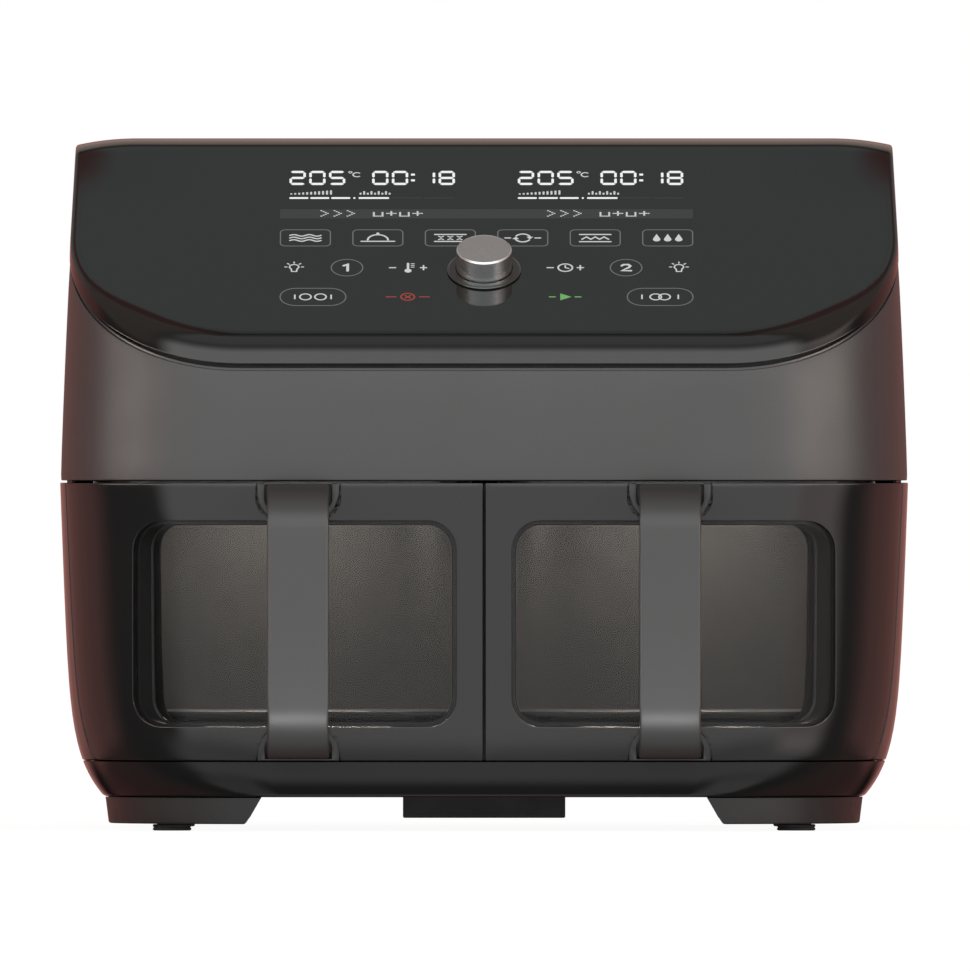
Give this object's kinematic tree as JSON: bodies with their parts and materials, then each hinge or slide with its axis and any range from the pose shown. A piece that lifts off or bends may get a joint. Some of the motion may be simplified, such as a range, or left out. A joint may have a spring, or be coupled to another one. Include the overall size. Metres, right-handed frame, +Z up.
{
  "type": "air fryer",
  "caption": "Countertop air fryer with side-by-side windowed drawers on slides, strap handles, a sloping glossy touch panel and a rotary knob.",
  "frame": {"origin": "centre of the footprint, handles and rear spacer included, on the surface that the foot pads stand on", "axes": "+Z up, the drawers open towards -Y, +X to the right as seen from the front"},
  "size_m": [0.384, 0.394, 0.314],
  "materials": {
    "satin_charcoal": "satin metallic paint on moulded plastic",
    "drawer_charcoal": "satin metallic paint on moulded plastic",
    "dark_plastic": "fine matt texture",
    "gloss_panel": "polished black",
    "brushed_metal": "brushed",
    "dark_metal": "satin",
    "coated_steel": "non-stick coating",
    "bare_steel": "brushed",
    "clear_glass": "polished",
    "black_rubber": "matt",
    "circuit_board": "solder mask",
    "display_black": "dark filter over lit segments",
    "lamp_glass": "frosted",
    "socket_dark": "fine matt texture"
  },
  "bodies": {
    "casing": {"upper_housing": "satin_charcoal", "lower_housing": "drawer_charcoal", "base_pan": "dark_plastic", "top_cover": "satin_charcoal", "rear_cover": "dark_plastic", "rear_spacer": "dark_plastic", "cord_gland": "black_rubber", "control_panel": "gloss_panel", "display_module": "display_black", "control_board": "circuit_board", "power_board": "circuit_board", "knob_ring": "dark_metal", "knob_encoder": "dark_metal", "foot_front_left": "dark_plastic", "foot_pad_front_left": "black_rubber", "foot_rear_left": "dark_plastic", "foot_pad_rear_left": "black_rubber", "cavity_liner_left": "bare_steel", "heater_shroud_left": "bare_steel", "heating_element_left": "dark_metal", "heater_guard_left": "bare_steel", "fan_motor_left": "dark_metal", "cavity_lamp_left": "lamp_glass", "temperature_probe_left": "bare_steel", "drawer_switch_left": "dark_plastic", "foot_front_right": "dark_plastic", "foot_pad_front_right": "black_rubber", "foot_rear_right": "dark_plastic", "foot_pad_rear_right": "black_rubber", "cavity_liner_right": "bare_steel", "heater_shroud_right": "bare_steel", "heating_element_right": "dark_metal", "heater_guard_right": "bare_steel", "fan_motor_right": "dark_metal", "cavity_lamp_right": "lamp_glass", "temperature_probe_right": "bare_steel", "drawer_switch_right": "dark_plastic"},
    "drawer_left": {"drawer_tub_left": "coated_steel", "drawer_front_left": "drawer_charcoal", "window_outer_glass_left": "clear_glass", "window_inner_glass_left": "clear_glass", "window_gasket_left": "dark_plastic", "handle_left": "satin_charcoal", "handle_top_socket_left": "socket_dark", "handle_bottom_socket_left": "socket_dark"},
    "tray_left": {"crisper_tray_left": "coated_steel"},
    "fan_left": {"convection_fan_left": "bare_steel", "cooling_fan_left": "dark_plastic"},
    "drawer_right": {"drawer_tub_right": "coated_steel", "drawer_front_right": "drawer_charcoal", "window_outer_glass_right": "clear_glass", "window_inner_glass_right": "clear_glass", "window_gasket_right": "dark_plastic", "handle_right": "satin_charcoal", "handle_top_socket_right": "socket_dark", "handle_bottom_socket_right": "socket_dark"},
    "tray_right": {"crisper_tray_right": "coated_steel"},
    "fan_right": {"convection_fan_right": "bare_steel", "cooling_fan_right": "dark_plastic"},
    "knob": {"knob": "brushed_metal"}
  },
  "joints": [
    {"name": "drawer_left_slide", "type": "slide", "parent": "casing", "child": "drawer_left", "axis": [0, -1, 0], "range_m": [0, 0.28]},
    {"name": "tray_left_lift", "type": "slide", "parent": "drawer_left", "child": "tray_left", "axis": [0, 0, 1], "range_m": [0, 0.085]},
    {"name": "fan_left_spin", "type": "hinge", "parent": "casing", "child": "fan_left", "pos_m": [-0.088, -0.024, 0.19], "axis": [0, 0, 1], "continuous": true},
    {"name": "drawer_right_slide", "type": "slide", "parent": "casing", "child": "drawer_right", "axis": [0, -1, 0], "range_m": [0, 0.28]},
    {"name": "tray_right_lift", "type": "slide", "parent": "drawer_right", "child": "tray_right", "axis": [0, 0, 1], "range_m": [0, 0.085]},
    {"name": "fan_right_spin", "type": "hinge", "parent": "casing", "child": "fan_right", "pos_m": [0.088, -0.024, 0.19], "axis": [0, 0, 1], "continuous": true},
    {"name": "knob_turn", "type": "hinge", "parent": "casing", "child": "knob", "pos_m": [0, -0.11387, 0.2532], "axis": [0, -0.5299, 0.848], "continuous": true}
  ]
}
